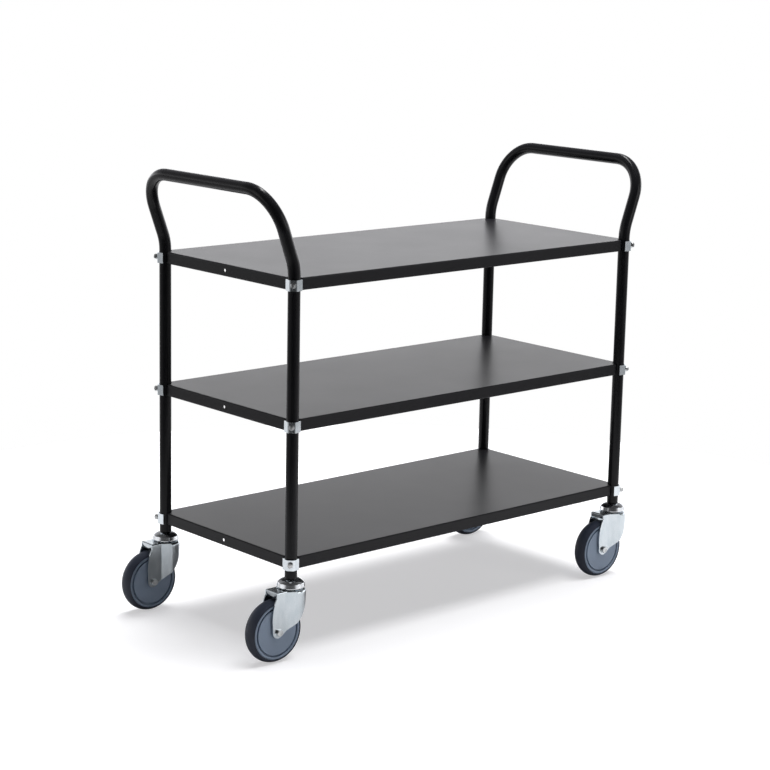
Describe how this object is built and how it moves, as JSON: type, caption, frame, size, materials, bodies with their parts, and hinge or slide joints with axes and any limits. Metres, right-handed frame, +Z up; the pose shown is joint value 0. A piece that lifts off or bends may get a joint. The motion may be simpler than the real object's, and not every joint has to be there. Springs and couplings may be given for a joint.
{
  "type": "rolling utility cart",
  "caption": "Rolling utility cart with flat black steel shelves clamped between two bent-tube end frames with leaning push handles, on swivel casters.",
  "frame": {"origin": "on the floor, below the middle of the whole cart's bounding box with the casters trailing towards -X", "axes": "+Z up, +X along the long side of the shelves, away from the side the casters trail to, +Y across the shelves"},
  "size_m": [1.1213, 0.4864, 0.952],
  "materials": {
    "frame_coat": "black powder coat, satin",
    "shelf_coat": "black powder coat, semi-gloss with a fine texture",
    "zinc_clamp": "bright zinc plate on formed sheet",
    "zinc_fork": "bright zinc plate on pressed sheet",
    "zinc_fastener": "zinc-plated steel",
    "bright_plate": "polished bright plate",
    "bearing_steel": "ground and greased steel",
    "grey_plastic": "moulded polypropylene, blue-grey",
    "grey_rubber": "thermoplastic rubber, dark blue-grey"
  },
  "bodies": {
    "cart_frame": {"left_end_frame": "frame_coat", "right_end_frame": "frame_coat", "top_shelf": "shelf_coat", "top_clamp_front_left": "zinc_clamp", "top_clamp_front_right": "zinc_clamp", "top_clamp_rear_left": "zinc_clamp", "top_clamp_rear_right": "zinc_clamp", "middle_shelf": "shelf_coat", "middle_clamp_front_left": "zinc_clamp", "middle_clamp_front_right": "zinc_clamp", "middle_clamp_rear_left": "zinc_clamp", "middle_clamp_rear_right": "zinc_clamp", "bottom_shelf": "shelf_coat", "bottom_clamp_front_left": "zinc_clamp", "bottom_clamp_front_right": "zinc_clamp", "bottom_clamp_rear_left": "zinc_clamp", "bottom_clamp_rear_right": "zinc_clamp", "clamp_bolts": "zinc_fastener", "clamp_washers": "zinc_fastener", "clamp_lock_nuts": "zinc_fastener", "stem_bolts": "zinc_fastener", "tube_inserts": "zinc_fastener", "front_left_swivel_cup": "bright_plate", "front_right_swivel_cup": "bright_plate", "rear_left_swivel_cup": "bright_plate", "rear_right_swivel_cup": "bright_plate"},
    "front_left_caster_fork": {"front_left_fork": "zinc_fork", "front_left_race_balls": "bearing_steel", "front_left_axle_bolt": "zinc_fastener", "front_left_axle_nut": "zinc_fastener", "front_left_axle_sleeve": "bearing_steel", "front_left_thread_guards": "grey_plastic"},
    "front_left_wheel": {"front_left_wheel_centre": "grey_plastic", "front_left_tyre": "grey_rubber"},
    "front_right_caster_fork": {"front_right_fork": "zinc_fork", "front_right_race_balls": "bearing_steel", "front_right_axle_bolt": "zinc_fastener", "front_right_axle_nut": "zinc_fastener", "front_right_axle_sleeve": "bearing_steel", "front_right_thread_guards": "grey_plastic"},
    "front_right_wheel": {"front_right_wheel_centre": "grey_plastic", "front_right_tyre": "grey_rubber"},
    "rear_left_caster_fork": {"rear_left_fork": "zinc_fork", "rear_left_race_balls": "bearing_steel", "rear_left_axle_bolt": "zinc_fastener", "rear_left_axle_nut": "zinc_fastener", "rear_left_axle_sleeve": "bearing_steel", "rear_left_thread_guards": "grey_plastic"},
    "rear_left_wheel": {"rear_left_wheel_centre": "grey_plastic", "rear_left_tyre": "grey_rubber"},
    "rear_right_caster_fork": {"rear_right_fork": "zinc_fork", "rear_right_race_balls": "bearing_steel", "rear_right_axle_bolt": "zinc_fastener", "rear_right_axle_nut": "zinc_fastener", "rear_right_axle_sleeve": "bearing_steel", "rear_right_thread_guards": "grey_plastic"},
    "rear_right_wheel": {"rear_right_wheel_centre": "grey_plastic", "rear_right_tyre": "grey_rubber"}
  },
  "joints": [
    {"name": "front_left_swivel", "type": "hinge", "parent": "cart_frame", "child": "front_left_caster_fork", "pos_m": [-0.45178, -0.2125, 0.147], "axis": [0, 0, 1], "continuous": true},
    {"name": "front_left_wheel_spin", "type": "hinge", "parent": "front_left_caster_fork", "child": "front_left_wheel", "pos_m": [-0.49618, -0.2125, 0.0645], "axis": [0, 1, 0], "continuous": true},
    {"name": "front_right_swivel", "type": "hinge", "parent": "cart_frame", "child": "front_right_caster_fork", "pos_m": [0.49322, -0.2125, 0.147], "axis": [0, 0, 1], "continuous": true},
    {"name": "front_right_wheel_spin", "type": "hinge", "parent": "front_right_caster_fork", "child": "front_right_wheel", "pos_m": [0.44882, -0.2125, 0.0645], "axis": [0, 1, 0], "continuous": true},
    {"name": "rear_left_swivel", "type": "hinge", "parent": "cart_frame", "child": "rear_left_caster_fork", "pos_m": [-0.45178, 0.2125, 0.147], "axis": [0, 0, 1], "continuous": true},
    {"name": "rear_left_wheel_spin", "type": "hinge", "parent": "rear_left_caster_fork", "child": "rear_left_wheel", "pos_m": [-0.49618, 0.2125, 0.0645], "axis": [0, 1, 0], "continuous": true},
    {"name": "rear_right_swivel", "type": "hinge", "parent": "cart_frame", "child": "rear_right_caster_fork", "pos_m": [0.49322, 0.2125, 0.147], "axis": [0, 0, 1], "continuous": true},
    {"name": "rear_right_wheel_spin", "type": "hinge", "parent": "rear_right_caster_fork", "child": "rear_right_wheel", "pos_m": [0.44882, 0.2125, 0.0645], "axis": [0, 1, 0], "continuous": true}
  ]
}
